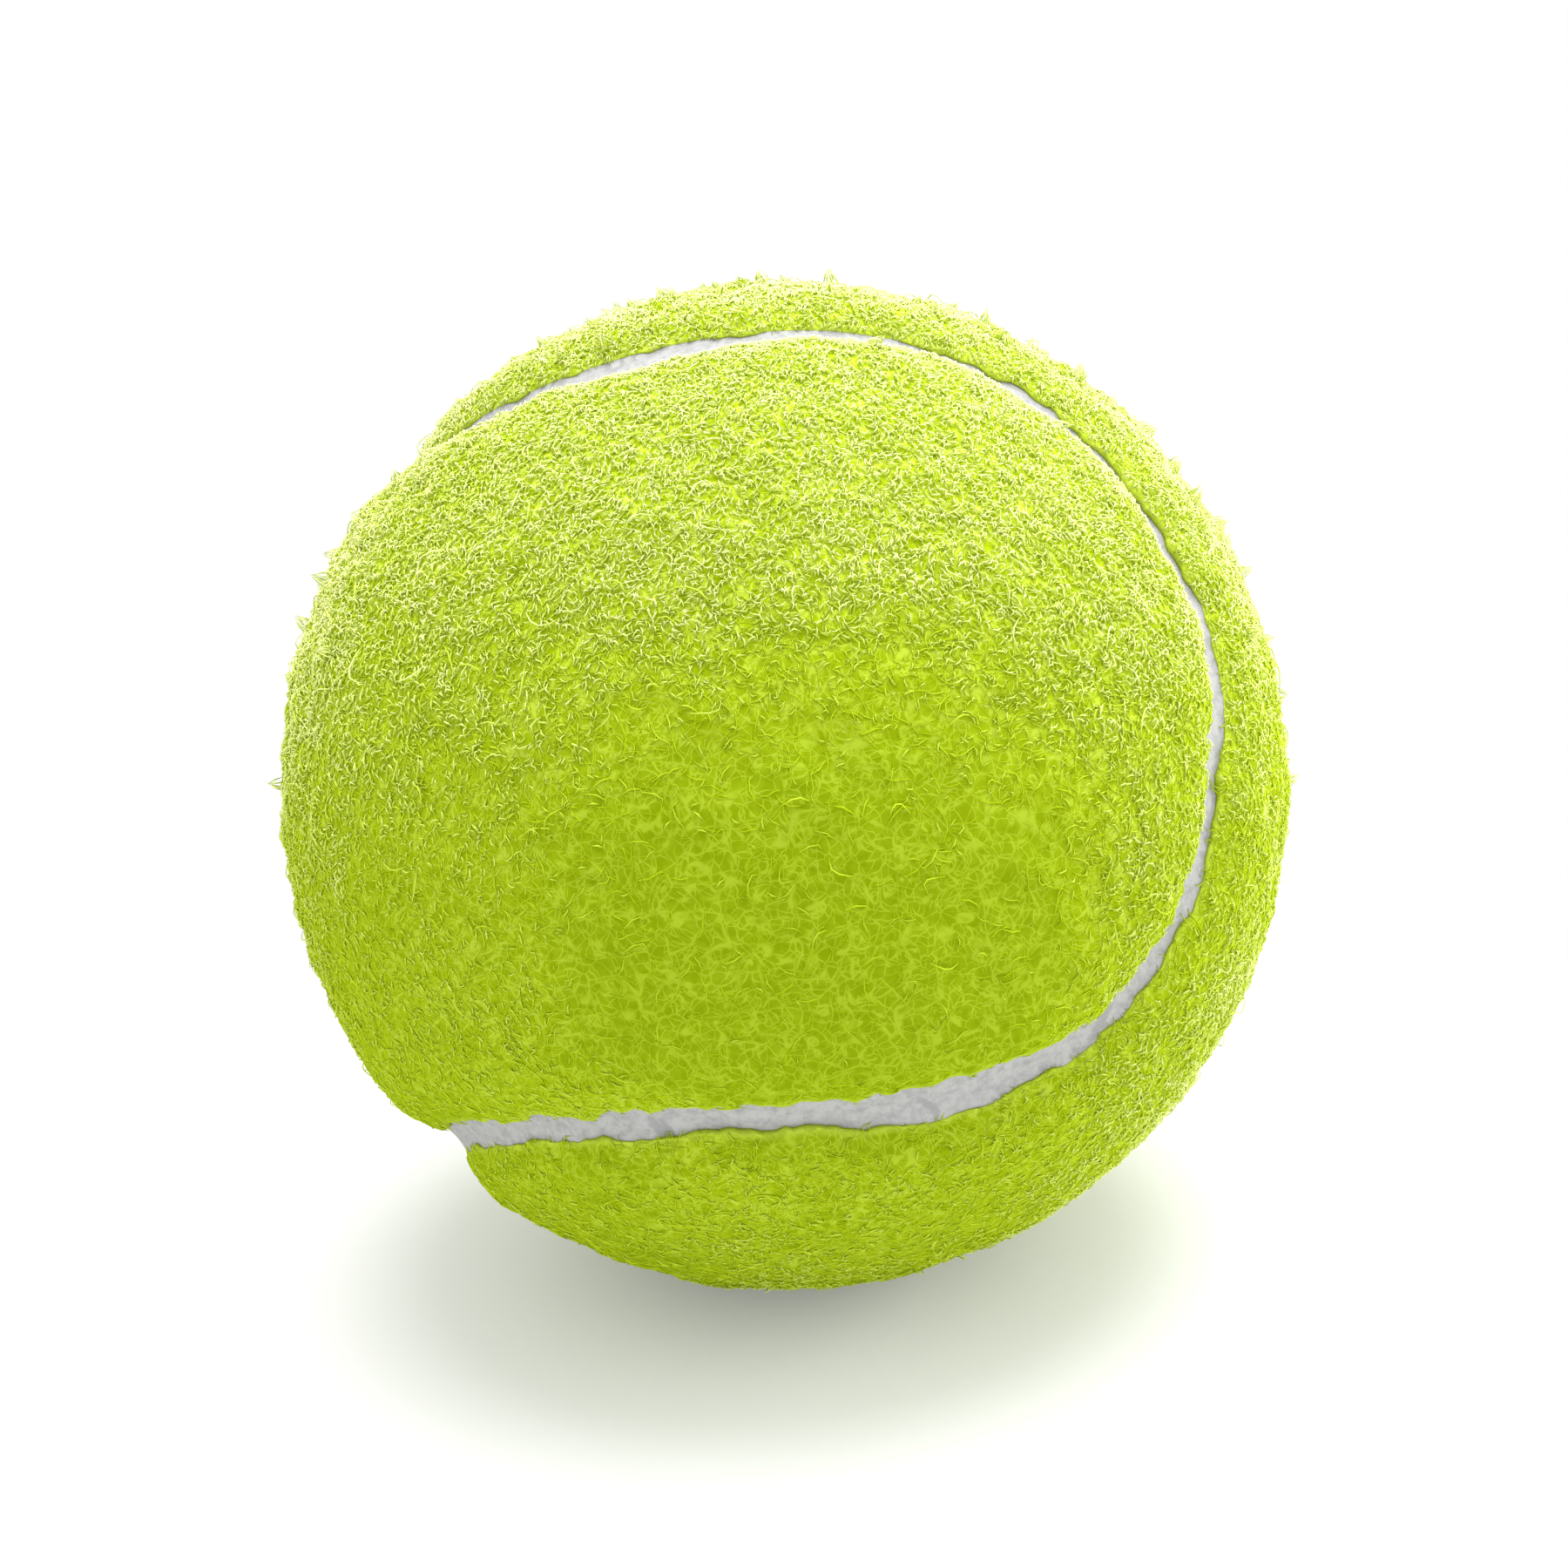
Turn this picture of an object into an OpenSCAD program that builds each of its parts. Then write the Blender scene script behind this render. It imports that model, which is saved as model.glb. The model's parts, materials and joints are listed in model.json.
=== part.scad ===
// Tennis ball: two moulded rubber half shells cemented into a hollow core, two
// dumbbell-shaped felt panels glued over the core, and the rubber seam between their edges.
// Millimetres, Z up. The origin is the ball's centre, and X is the seam's axis of symmetry.

/* [Ball] */
// Diameter over the nap of the felt
ball_d = 67; // [60:0.5:76]

/* [Rubber core] */
// Wall of a half shell
shell_wall = 3.4; // [2.4:0.1:4.6]
// Thickness of the cement between the half shells
cement_t = 0.4; // [0.2:0.05:0.8]
// Radius of the cement bead squeezed out inside the joint
cement_bead_r = 1; // [0.5:0.1:1.5]

/* [Felt cover] */
// Thickness of the felt, nap included
felt_t = 3.2; // [2.6:0.1:4.2]
// Thickness of the rubber solution under a panel
adhesive_t = 0.3; // [0.15:0.05:0.6]
// How far below the nap the felt's rolled edge starts
edge_drop = 1.4; // [1:0.1:2.2]
// How far the felt's rolled edge runs back from the gap
edge_run = 1.8; // [1:0.1:2.8]

/* [Seam] */
// Gap between the edges of the two felt panels
seam_gap = 3.2; // [2.2:0.1:4.2]
// Depth of the seam's edges below the nap
seam_depth = 1.4; // [1:0.1:2.2]
// Depth of the hollow along the middle of the seam
seam_dip = 0.3; // [0.1:0.05:0.5]
// Clearance between the seam and the edges beside it
seam_fit = 0.05; // [0.02:0.01:0.1]
// Share of the third harmonic in the seam's curve, which sets how narrow the waists are
waist_share = 0.185; // [0.17:0.005:0.22]
// Sway of the seam to each side of that curve, which straightens its runs and tightens its turns
seam_sway = 1.4; // [0:0.1:2]
// Turn of the whole cover about X
cover_turn = 25; // [0:1:90]

/* [Resolution] */
// Stations round the seam
stations = 144; // [96:12:192]
// Facets in a rolled edge
edge_facets = 4; // [3:1:6]
// Facets across the seam's face
face_facets = 4; // [2:2:8]

/* [Hidden] */
$fn = 180;
ball_r = ball_d / 2;
felt_in_r = ball_r - felt_t;
core_r = felt_in_r - adhesive_t;
bore_r = core_r - shell_wall;
half_gap = seam_gap / 2;
seam_r = ball_r - seam_depth;
// How far the rolled edge's curve rises past the nap, so that it meets the nap at an angle
edge_lift = 0.2;
// How far a cutting shape runs past the surface that it cuts
overrun = 1;
// Reach of the cones that part the two panels, in ball radii
cone_reach_share = 2;
// Axis through a point of the seam: half a turn about it carries one panel onto the other
panel_swap_axis = [0, -1, 1];
// How far the cement line's ring reaches into its bead
bead_root = cement_bead_r / 2;
// Phase on each side of a point that gives the seam's heading there
heading_step = 0.25;

function unit(v) = v / norm(v);

// The plain curve that the seam sways about, on the unit sphere. Its first and third harmonics
// add up to one, and the swing along X that keeps it on the sphere follows from them.
function seam_swing() = 2 * sqrt(waist_share * (1 - waist_share));
function plain_point(u) = [
    seam_swing() * cos(2 * u),
    waist_share * cos(3 * u) - (1 - waist_share) * cos(u),
    (1 - waist_share) * sin(u) + waist_share * sin(3 * u)
];
function plain_heading(u) = unit([
    -2 * seam_swing() * sin(2 * u),
    (1 - waist_share) * sin(u) - 3 * waist_share * sin(3 * u),
    (1 - waist_share) * cos(u) + 3 * waist_share * cos(3 * u)
]);

// The seam itself. Its sway has six waves, so both panels still have one outline.
function seam_point(u) =
    let (turn = seam_sway * cos(6 * u) / ball_r * 180 / PI)
        cos(turn) * plain_point(u)
            + sin(turn) * cross(plain_point(u), plain_heading(u));
function seam_heading(u) =
    unit(seam_point(u + heading_step) - seam_point(u - heading_step));
function seam_side(u) = cross(seam_point(u), seam_heading(u));

// A profile point is [distance from the seam's middle along the nap, distance from the ball's
// centre]. At phase u it lies on the great circle square to the seam.
function around_seam(u, profile) = [
    for (p = profile)
        let (turn = p[0] / ball_r * 180 / PI)
            p[1] * (cos(turn) * seam_point(u) + sin(turn) * seam_side(u))
];

function mirrored(profile) = concat(
    profile,
    [for (i = [len(profile) - 1:-1:0]) [-profile[i][0], profile[i][1]]]
);

// The felt's rolled edge, from the wall of the gap out to just past the nap
function rolled_edge() = [
    for (i = [0:edge_facets])
        let (turn = 90 * i / edge_facets)
            [half_gap + edge_run * (1 - cos(turn)),
             ball_r - edge_drop + (edge_drop + edge_lift) * sin(turn)]
];

// Outline of the gap with its rolled edges
function felt_gap_profile() = mirrored(concat(
    [[half_gap, core_r - overrun]],
    rolled_edge(),
    [[half_gap + edge_run, ball_r + overrun]]
));

// Outline of the plain gap in the layer under the felt
function adhesive_gap_profile() = mirrored([
    [half_gap, core_r - overrun],
    [half_gap, felt_in_r + overrun]
]);

// Outline of the seam: straight sides, and a face that is hollow along its middle
function seam_profile() =
    let (half_w = half_gap - seam_fit)
        concat(
            [[half_w, core_r - overrun]],
            [for (i = [0:face_facets])
                let (across = 1 - 2 * i / face_facets)
                    [half_w * across, seam_r - seam_dip * (1 - across * across)]],
            [[-half_w, core_r - overrun]]
        );

// A profile carried once round the seam, as one closed ring
module along_seam(profile) {
    sides = len(profile);
    points = [for (i = [0:stations - 1]) each around_seam(360 * i / stations, profile)];
    faces = [
        for (i = [0:stations - 1], j = [0:sides - 1])
            let (
                here = i * sides,
                next = (i + 1) % stations * sides,
                k = (j + 1) % sides
            )
                each [[here + j, next + k, here + k], [here + j, next + j, next + k]]
    ];
    polyhedron(points, faces, convexity = 6);
}

// Cone from the ball's centre over the left panel. Its walls run down the middle of the seam,
// and its lid is a ladder of flat rungs across the panel, from the tip of one lobe to the other.
module over_left_panel() {
    ring = stations / 2;
    half = ring / 2;
    points = [
        for (i = [0:ring - 1]) cone_reach_share * ball_r * seam_point(360 * i / ring),
        [0, 0, 0]
    ];
    walls = [for (i = [0:ring - 1]) [ring, i, (i + 1) % ring]];
    rungs = [for (i = [1:half - 2]) [i, ring - i, ring - i - 1, i + 1]];
    tips = [[0, ring - 1, 1], [half - 1, half + 1, half]];
    polyhedron(points, concat(walls, rungs, tips), convexity = 6);
}

// One layer of the left panel, between two radii, cut back to the gap
module left_panel_layer(outer_r, inner_r, gap) {
    intersection() {
        difference() {
            sphere(outer_r);
            sphere(inner_r);
            along_seam(gap);
        }
        over_left_panel();
    }
}

// Both panels are cut to one outline, so the right one is the left one turned over the seam
module right_panel_layer(outer_r, inner_r, gap) {
    rotate(180, panel_swap_axis) left_panel_layer(outer_r, inner_r, gap);
}

// The cover as it lies in the photograph
module cover_pose() {
    rotate([-cover_turn, 0, 0]) children();
}

module half_shell() {
    rotate_extrude()
        intersection() {
            difference() {
                circle(core_r);
                circle(bore_r);
            }
            translate([0, cement_t / 2]) square(core_r);
        }
}

module half_shell_upper() {
    color("#3b3c3e") half_shell();
}

module half_shell_lower() {
    color("#46474a") mirror([0, 0, 1]) half_shell();
}

// Cement line across the joint, with the bead that it leaves inside
module shell_cement() {
    color("#8d7a52")
        rotate_extrude()
            intersection() {
                circle(core_r);
                union() {
                    translate([bore_r - bead_root, -cement_t / 2])
                        square([bead_root + shell_wall, cement_t]);
                    intersection() {
                        translate([bore_r, 0]) circle(cement_bead_r, $fn = 32);
                        circle(bore_r);
                    }
                }
            }
}

module panel_adhesive_left() {
    color("#d8c9a0")
        cover_pose() left_panel_layer(felt_in_r, core_r, adhesive_gap_profile());
}

module panel_adhesive_right() {
    color("#cdbd92")
        cover_pose() right_panel_layer(felt_in_r, core_r, adhesive_gap_profile());
}

module felt_panel_left() {
    color("#c6da45")
        cover_pose() left_panel_layer(ball_r, felt_in_r, felt_gap_profile());
}

module felt_panel_right() {
    color("#b4cc33")
        cover_pose() right_panel_layer(ball_r, felt_in_r, felt_gap_profile());
}

module seam_rubber() {
    color("#bdbdba")
        cover_pose() difference() {
            along_seam(seam_profile());
            sphere(core_r);
        }
}

half_shell_upper();
half_shell_lower();
shell_cement();
panel_adhesive_left();
panel_adhesive_right();
felt_panel_left();
felt_panel_right();
seam_rubber();
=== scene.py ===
"""Tennis ball on a pale studio floor: needled felt panels with their curly nap, the moulded seam
rubber between them, and the rubber core underneath. Lengths are metres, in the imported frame."""

import json
import math

import bmesh
import bpy
import numpy as np
from mathutils import Matrix, Vector, kdtree, noise

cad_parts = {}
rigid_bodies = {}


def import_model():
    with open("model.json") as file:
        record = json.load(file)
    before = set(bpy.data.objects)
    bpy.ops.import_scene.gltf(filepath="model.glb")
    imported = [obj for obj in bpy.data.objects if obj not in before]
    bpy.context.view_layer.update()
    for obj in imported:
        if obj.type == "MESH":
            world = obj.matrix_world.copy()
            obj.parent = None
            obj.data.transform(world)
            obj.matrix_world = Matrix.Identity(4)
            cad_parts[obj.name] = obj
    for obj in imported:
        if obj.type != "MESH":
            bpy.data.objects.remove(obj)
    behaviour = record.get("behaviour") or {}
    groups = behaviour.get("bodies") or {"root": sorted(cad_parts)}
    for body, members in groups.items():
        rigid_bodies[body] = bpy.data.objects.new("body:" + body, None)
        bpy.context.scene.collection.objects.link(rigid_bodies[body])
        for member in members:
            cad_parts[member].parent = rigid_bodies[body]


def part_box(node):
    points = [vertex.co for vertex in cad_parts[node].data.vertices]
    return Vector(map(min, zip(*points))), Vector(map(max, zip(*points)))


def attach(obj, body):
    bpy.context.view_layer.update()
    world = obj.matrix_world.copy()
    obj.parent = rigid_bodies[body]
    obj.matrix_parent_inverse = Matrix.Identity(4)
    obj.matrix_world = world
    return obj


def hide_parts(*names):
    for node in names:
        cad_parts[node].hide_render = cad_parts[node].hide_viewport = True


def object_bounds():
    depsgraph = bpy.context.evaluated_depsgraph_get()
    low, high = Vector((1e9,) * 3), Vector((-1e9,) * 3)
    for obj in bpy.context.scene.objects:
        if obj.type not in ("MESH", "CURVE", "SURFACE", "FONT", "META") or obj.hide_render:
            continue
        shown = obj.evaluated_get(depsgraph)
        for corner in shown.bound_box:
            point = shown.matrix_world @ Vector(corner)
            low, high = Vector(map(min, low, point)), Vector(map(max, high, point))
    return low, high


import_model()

bl_info = {
    "name": "Felt-covered ball",
    "version": (1, 0, 0),
    "blender": (4, 5, 0),
    "location": "3D View > Sidebar > Ball",
    "description": "Dresses the packed ball in felt panels, curly nap and seam rubber",
    "category": "Object",
}

MM = 0.001
BODY = "root"
CAD_BOX = [list(corner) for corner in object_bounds()]


def reach(node):
    """How far a solid's box reaches from the ball's centre."""
    return max(abs(side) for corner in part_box(node) for side in corner)


# The solids' own sizes, so that each dressed piece stays where its solid is
NAP_RADIUS = reach("felt_panel_left")
FELT_INNER = reach("panel_adhesive_left")
CORE_RADIUS = reach("half_shell_upper")
FLOOR_Z = CAD_BOX[0][2]

# Places along the seam at which its curve is worked out
SEAM_SAMPLES = 5760
# Stations round the seam rubber, and points across its hollow face
BAND_STATIONS = 1080
FACE_POINTS = 13
# Height and length of the waves in that face
BAND_WAVE, BAND_WAVE_LENGTH = 0.16 * MM, 3.5 * MM

# Parts of an icosahedron's edge on the felt's inner side, which never shows
UNDER_FACETS = 30
# How far the felt can lean over the seam, and how far back from its edge the lean reaches
MOST_LEAN = 1.42 * MM
LEAN_REACH = 4 * MM
# How far back from its edge the felt's lumps and tufts grow to their full height
CALM_EDGE = 1.2 * MM
# How far the felt's foot lies above the seam's face
LIP_LIFT = 0.02 * MM
# Widths of the fine scallops and lumps that lie over the main ones, of a tuft at the back, and of
# the patches in which the nap is worn more or less
FINE_SCALLOP, FINE_LUMP, TUFT_WIDTH, WEAR_WIDTH = 1.3 * MM, 0.9 * MM, 2.3 * MM, 6 * MM
# Brings the highest tufts of the noise to about their full height
TUFT_GAIN = 2.2
# Way from the ball's centre to the middle of the patch that is rubbed flat and painted in
# deeper shade, and the degrees from it where the patch begins and where it is flattest
RUBBED_WAY = np.array([0.0, -0.998, 0.055])
RUBBED_FROM, RUBBED_FLAT = 33, 15
# Seeds of the patterns over the ball: the scallops of each panel's edge, the main and the fine
# lumps, the tufts and the wear
EDGE_SEEDS = {1: 3.1, -1: 17.9}
LUMP_SEED, FINE_LUMP_SEED, TUFT_SEED, WEAR_SEED = 5.0, 9.0, 31.0, 23.0

# Layers of curls on a panel, each a piece of its own, so that none is too heavy
NAP_LAYERS = 5
# Shapes of each kind of fibre, from the flattest to the one that stands out most
FIBRE_SHAPES = 16
FIBRE_SIDES = 3
# Fibres that lean together in one pointed wisp
WISP_STRANDS = 8
# Seed of the shapes' own draws, and a loose hair's width as a share of a curl's
SHAPE_SEED, HAIR_WIDTH = 11, 0.85
# Margins that a shape keeps in its layout, beside its cell and at the foot and the tip
CELL_MARGIN, END_MARGIN = 0.08, 0.03
# How far the fibres turn from tuft to tuft, and one from its neighbours, in radians
TUFT_TURN, OWN_TURN = 22.0, 1.3
# How raised the nap is where it gets as dense as it can be
DENSE_FROM = 0.75
# Smallest and largest size of a fibre, as shares of its shape, and how far it stands out more or
# less than its place says
OWN_SIZES = (0.75, 1.3)
OWN_STANDS = (-0.4, 0.35)
# Where each kind grows: the width of a tuft, how far from the felt's edge the first fibres stand
# and the first of full size, and the share of them that is left where the felt is matted
CURL_PLACES = {"Tuft width": 3.2 * MM, "Clear edge": 0.0, "Full from": 0.8 * MM,
               "Matted share": 0.07}
HAIR_PLACES = {"Tuft width": 6 * MM, "Clear edge": 1.4 * MM, "Full from": 3 * MM,
               "Matted share": 0.2}
WISP_PLACES = {"Tuft width": 6 * MM, "Clear edge": 0.6 * MM, "Full from": 2 * MM,
               "Matted share": 0.0}

# Place, width and power of each soft lamp
LAMPS = {"lamp_above": ((0.05, 0.0, 0.40), 0.36, 2.45),
         "lamp_beside": ((0.375, 0.06, 0.03), 0.24, 1.3)}
# Light from all round, where 1 shows a colour about as it is written
ROUND_LIGHT = 0.93
FLOOR_HALF = 4
# Distances from the middle between which the shaded floor fades into the white backdrop
FADE_FROM, FADE_TO = 0.015, 0.095

# The photograph's view: azimuth, elevation and roll in degrees, the distance, the lens and the
# sensor's width in millimetres, and the shift in pixels of the photograph
PHOTO_WIDTH = 1800
CAMERA_ANGLES = (-3.67, 14.99, -4.38)
CAMERA_DISTANCE = 4 * 33.5 * MM
LENS, SENSOR = 45.04, 36
CAMERA_SHIFT = (-0.7, 3.6)


# ---------------------------------------------------------------- sizes and colours

def length(name, about, default):
    return bpy.props.FloatProperty(
        name=name, description=about, default=default, min=0, max=1,
        subtype="DISTANCE", unit="LENGTH", precision=5)


def count(name, about, default, low, high=100000):
    return bpy.props.IntProperty(
        name=name, description=about, default=default, min=low, max=high)


def colour(name, about, default):
    return bpy.props.StringProperty(name=name, description=about, default=default)


class BallCover(bpy.types.PropertyGroup):
    waist_share: bpy.props.FloatProperty(
        name="Waist share", default=0.185, min=0.17, max=0.22, subtype="FACTOR",
        description="Third harmonic of the seam's curve, which narrows the waists")
    sway: length(
        "Seam sway", "Sway of the seam about that curve, which straightens its runs", 1.4 * MM)
    turn: bpy.props.FloatProperty(
        name="Cover turn", description="Turn of the cover about X, as the ball lies",
        default=math.radians(-25), subtype="ANGLE", unit="ROTATION")
    gap: length("Seam gap", "Gap between the walls of the two panels", 3.2 * MM)
    seam_depth: length("Seam depth", "Depth of the seam's edges below the nap", 1.4 * MM)
    seam_dip: length("Seam dip", "Depth of the hollow along the seam's middle", 0.3 * MM)
    roll_run: length("Roll run", "How far the rolled edge of the felt runs back", 3.2 * MM)
    roll_drop: length("Roll drop", "How far the rolled edge falls below the nap", 0.95 * MM)
    ply: length("Ply", "How far the matted ply lies below the tips of the nap", 0.38 * MM)
    lump: length("Lumps", "Height of the lumps in the felt", 0.22 * MM)
    lump_width: length("Lump width", "Width of a lump in the felt", 3.0 * MM)
    scallop: length("Scallops", "How far the felt's edge wanders along the seam", 0.5 * MM)
    scallop_length: length("Scallop length", "Distance between two scallops", 2.8 * MM)
    peak: length("Tufts", "Height of the tufts where the nap stands out most", 0.4 * MM)
    facets: count(
        "Facets", "Parts that each edge of the felt's icosahedron is cut into", 110, 20, 128)


class BallNap(bpy.types.PropertyGroup):
    fibre_width: length("Fibre width", "Width of a curl of nap", 0.1 * MM)
    fibres: count("Curls", "Curls of nap in one layer of one panel", 24000, 100)
    hairs: count("Loose hairs", "Longer hairs that stand out of one panel", 1300, 10)
    wisps: count("Wisps", "Pointed wisps that one panel would have if all of it were tufted",
                 560, 10)


class BallColours(bpy.types.PropertyGroup):
    # Painted shade: the flattened felt, low on the front, on the underside and at the left, takes
    # these deeper colours, deepest in the gaps between strands
    ply_deep: colour("Ply, deep", "Gaps between the strands of rubbed felt", "#809609")
    ply_middle: colour("Ply, middle", "Rubbed felt between gap and strand", "#8BA211")
    ply_high: colour("Ply, high", "Strands on top of rubbed felt", "#9FB629")
    # Painted light: under raised nap, mostly on top of the ball, the felt takes these paler
    # colours; the deep one, in the gaps between strands, is painted shade
    pile_deep: colour("Pile, deep", "Gaps between the strands under raised nap", "#9CB40E")
    pile_middle: colour("Pile, middle", "Felt between gap and strand under raised nap", "#B3CA1C")
    pile_high: colour("Pile, high", "Strands on top of the felt under raised nap", "#CEE04A")
    # Partly painted light: the pale edge and wall of the felt beside the seam
    ply_rim: colour("Ply, rim", "Cut edge of the felt beside the seam", "#CADC50")
    # Painted shade: the roots and undersides of the fibres are deeper than their tips
    matted_dye_and_root_shade: colour("Matted fibre, root", "Root and flanks of the flattest fibres", "#AFC514")
    matted_tip: colour("Matted fibre, tip", "Top of the flattest fibres", "#C6DA30")
    # Painted light: the fibres that stand out most are pale, nearly white at the tip
    raised_root_painted_light: colour("Raised fibre, root", "Root of the fibres that stand out most", "#E6F466")
    raised_tip_painted_light: colour("Raised fibre, tip", "Top of the fibres that stand out most", "#FFFFC4")
    seam: colour("Seam", "Pale grey seam rubber", "#B1B1B1")
    seam_vein: colour("Seam, veins", "Creases in the seam rubber", "#9A9A9B")
    core: colour("Core", "Carbon-black filled rubber", "#2A2B2D")
    core_bloom: colour("Core, bloom", "Grey bloom on the core rubber", "#434446")
    cement: colour("Cement", "Cured rubber cement", "#8A7340")
    cement_thick: colour("Cement, thick", "Rubber cement where it lies thicker", "#6F5A2C")
    adhesive: colour("Adhesive", "Dried rubber solution", "#D3C293")
    adhesive_thick: colour("Adhesive, thick", "Rubber solution where it lies thicker", "#BDAA76")


GROUPS = {"ball_cover": BallCover, "ball_nap": BallNap, "ball_colours": BallColours}


# ---------------------------------------------------------------- small helpers

def linear(hex_text):
    """An sRGB hex colour as linear RGBA."""
    values = [int(hex_text[i:i + 2], 16) / 255 for i in (1, 3, 5)]
    return (*(v / 12.92 if v <= 0.04045 else ((v + 0.055) / 1.055) ** 2.4 for v in values), 1.0)


def add(tree, kind, inputs=(), stops=(), **settings):
    """Adds a node with its settings, and fills or links its inputs: from the first on, as a list,
    or by name or number. A node given for an input stands for its first output. The stops are a
    ramp's places and hex colours."""
    node = tree.nodes.new(kind)
    for name, value in settings.items():
        setattr(node, name, value)
    for key, value in inputs.items() if isinstance(inputs, dict) else enumerate(inputs):
        if isinstance(value, bpy.types.Node):
            value = value.outputs[0]
        if isinstance(value, bpy.types.NodeSocket):
            tree.links.new(value, node.inputs[key])
        else:
            node.inputs[key].default_value = value
    if stops:
        band = node.color_ramp.elements
        while len(band) < len(stops):
            band.new(0.5)
        for element, (place, hex_text) in zip(band, stops):
            element.position = place
            element.color = linear(hex_text)
    return node


def new_material(name):
    """A material with an empty tree, and its Object coordinates."""
    material = bpy.data.materials.new(name)
    material.use_nodes = True
    tree = material.node_tree
    tree.nodes.clear()
    return material, tree, add(tree, "ShaderNodeTexCoord").outputs["Object"]


def per_mm(size_mm):
    """A texture's scale for a feature of that size."""
    return 1 / (size_mm * MM)


def mesh_object(name, points, faces, material=None, edges=()):
    """An object in the scene with that mesh."""
    mesh = bpy.data.meshes.new(name)
    mesh.from_pydata([tuple(p) for p in points], edges, [tuple(int(i) for i in f) for f in faces])
    mesh.update()
    piece = bpy.data.objects.new(name, mesh)
    bpy.context.scene.collection.objects.link(piece)
    if material:
        mesh.materials.append(material)
    return piece


def smooth(piece):
    """Shades all the faces of a piece smooth."""
    piece.data.polygons.foreach_set("use_smooth", [True] * len(piece.data.polygons))


def face_outwards(piece):
    """Points all the faces of a closed piece outwards."""
    shell = bmesh.new()
    shell.from_mesh(piece.data)
    bmesh.ops.recalc_face_normals(shell, faces=shell.faces)
    if shell.calc_volume(signed=True) < 0:
        bmesh.ops.reverse_faces(shell, faces=shell.faces)
    shell.to_mesh(piece.data)
    shell.free()


def group_tree(name, **sockets):
    """A geometry tree with a Geometry input and named inputs, given as socket type and default."""
    tree = bpy.data.node_groups.new(name, "GeometryNodeTree")
    face = tree.interface
    face.new_socket("Geometry", in_out="INPUT", socket_type="NodeSocketGeometry")
    for label, (kind, default) in sockets.items():
        socket = face.new_socket(label.replace("_", " "), in_out="INPUT", socket_type=kind)
        socket.default_value = default
    face.new_socket("Geometry", in_out="OUTPUT", socket_type="NodeSocketGeometry")
    source = tree.nodes.new("NodeGroupInput").outputs
    return tree, {s.name: s for s in source if s.name}, tree.nodes.new("NodeGroupOutput")


def finish_tree(tree, out, geometry, material):
    """Ends a geometry tree: its instances made real, in their material."""
    real = add(tree, "GeometryNodeRealizeInstances", {"Geometry": geometry})
    dyed = add(tree, "GeometryNodeSetMaterial", {"Geometry": real, "Material": material})
    tree.links.new(dyed.outputs[0], out.inputs[0])
    return tree


def grown(carrier, tree, values, name):
    """The plain mesh that a tree makes from a carrier object."""
    modifier = carrier.modifiers.new("Grow", "NODES")
    modifier.node_group = tree
    for item in tree.interface.items_tree:
        if item.item_type == "SOCKET" and item.in_out == "INPUT" and item.name in values:
            modifier[item.identifier] = values[item.name]
    carrier.update_tag()
    graph = bpy.context.evaluated_depsgraph_get()
    mesh = bpy.data.meshes.new_from_object(
        carrier.evaluated_get(graph), preserve_all_data_layers=True, depsgraph=graph)
    mesh.name = name
    carrier.modifiers.remove(modifier)
    piece = bpy.data.objects.new(name, mesh)
    bpy.context.scene.collection.objects.link(piece)
    return piece


def drop(piece):
    """Removes an object, and its mesh if nothing else uses it."""
    mesh = piece.data
    bpy.data.objects.remove(piece)
    if mesh and not mesh.users:
        bpy.data.meshes.remove(mesh)


# ---------------------------------------------------------------- the seam's curve

class Seam:
    """The seam's curve on the unit sphere, with the way to find how far a point is from it."""

    def __init__(self, cover):
        phase = np.arange(SEAM_SAMPLES) * 2 * math.pi / SEAM_SAMPLES
        share, rest = cover.waist_share, 1 - cover.waist_share
        swing = 2 * math.sqrt(share * rest)
        point = np.stack([
            swing * np.cos(2 * phase),
            share * np.cos(3 * phase) - rest * np.cos(phase),
            rest * np.sin(phase) + share * np.sin(3 * phase)], 1)
        heading = np.stack([
            -2 * swing * np.sin(2 * phase),
            rest * np.sin(phase) - 3 * share * np.sin(3 * phase),
            rest * np.cos(phase) + 3 * share * np.cos(3 * phase)], 1)
        sway = (cover.sway / NAP_RADIUS * np.cos(6 * phase))[:, None]
        point = np.cos(sway) * point + np.sin(sway) * np.cross(point, unit(heading))
        turn = np.array(Matrix.Rotation(cover.turn, 3, "X"))
        self.phase = phase
        self.point = unit(point @ turn.T)
        self.heading = unit(np.roll(self.point, -1, 0) - np.roll(self.point, 1, 0))
        self.side = np.cross(self.point, self.heading)
        self.tree = kdtree.KDTree(SEAM_SAMPLES)
        for index, place in enumerate(self.point):
            self.tree.insert(place, index)
        self.tree.balance()
        # The left panel's waist is at -X, which says which side of the seam is the left panel's
        self.left = math.copysign(1, self.measure(np.array([[-1.0, 0.0, 0.0]]), 1)[1][0])

    def measure(self, rays, left=None):
        """The seam sample nearest to each ray, and the ray's distance from the seam along the nap,
        which is positive on the left panel's side."""
        found = np.array([self.tree.find(ray)[1] for ray in rays])
        across = np.einsum("ij,ij->i", rays, self.side[found])
        along = np.einsum("ij,ij->i", rays, self.point[found])
        return found, np.arctan2(across, along) * NAP_RADIUS * (self.left if left is None else left)

    def beside(self, found, distance):
        """Unit rays at that distance from the seam, at those samples."""
        turn = (distance * self.left / NAP_RADIUS)[:, None]
        return np.cos(turn) * self.point[found] + np.sin(turn) * self.side[found]


def unit(vectors):
    """The rows of an array, each at length 1."""
    return vectors / np.linalg.norm(vectors, axis=1)[:, None]


# ---------------------------------------------------------------- the felt's cloth

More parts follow.
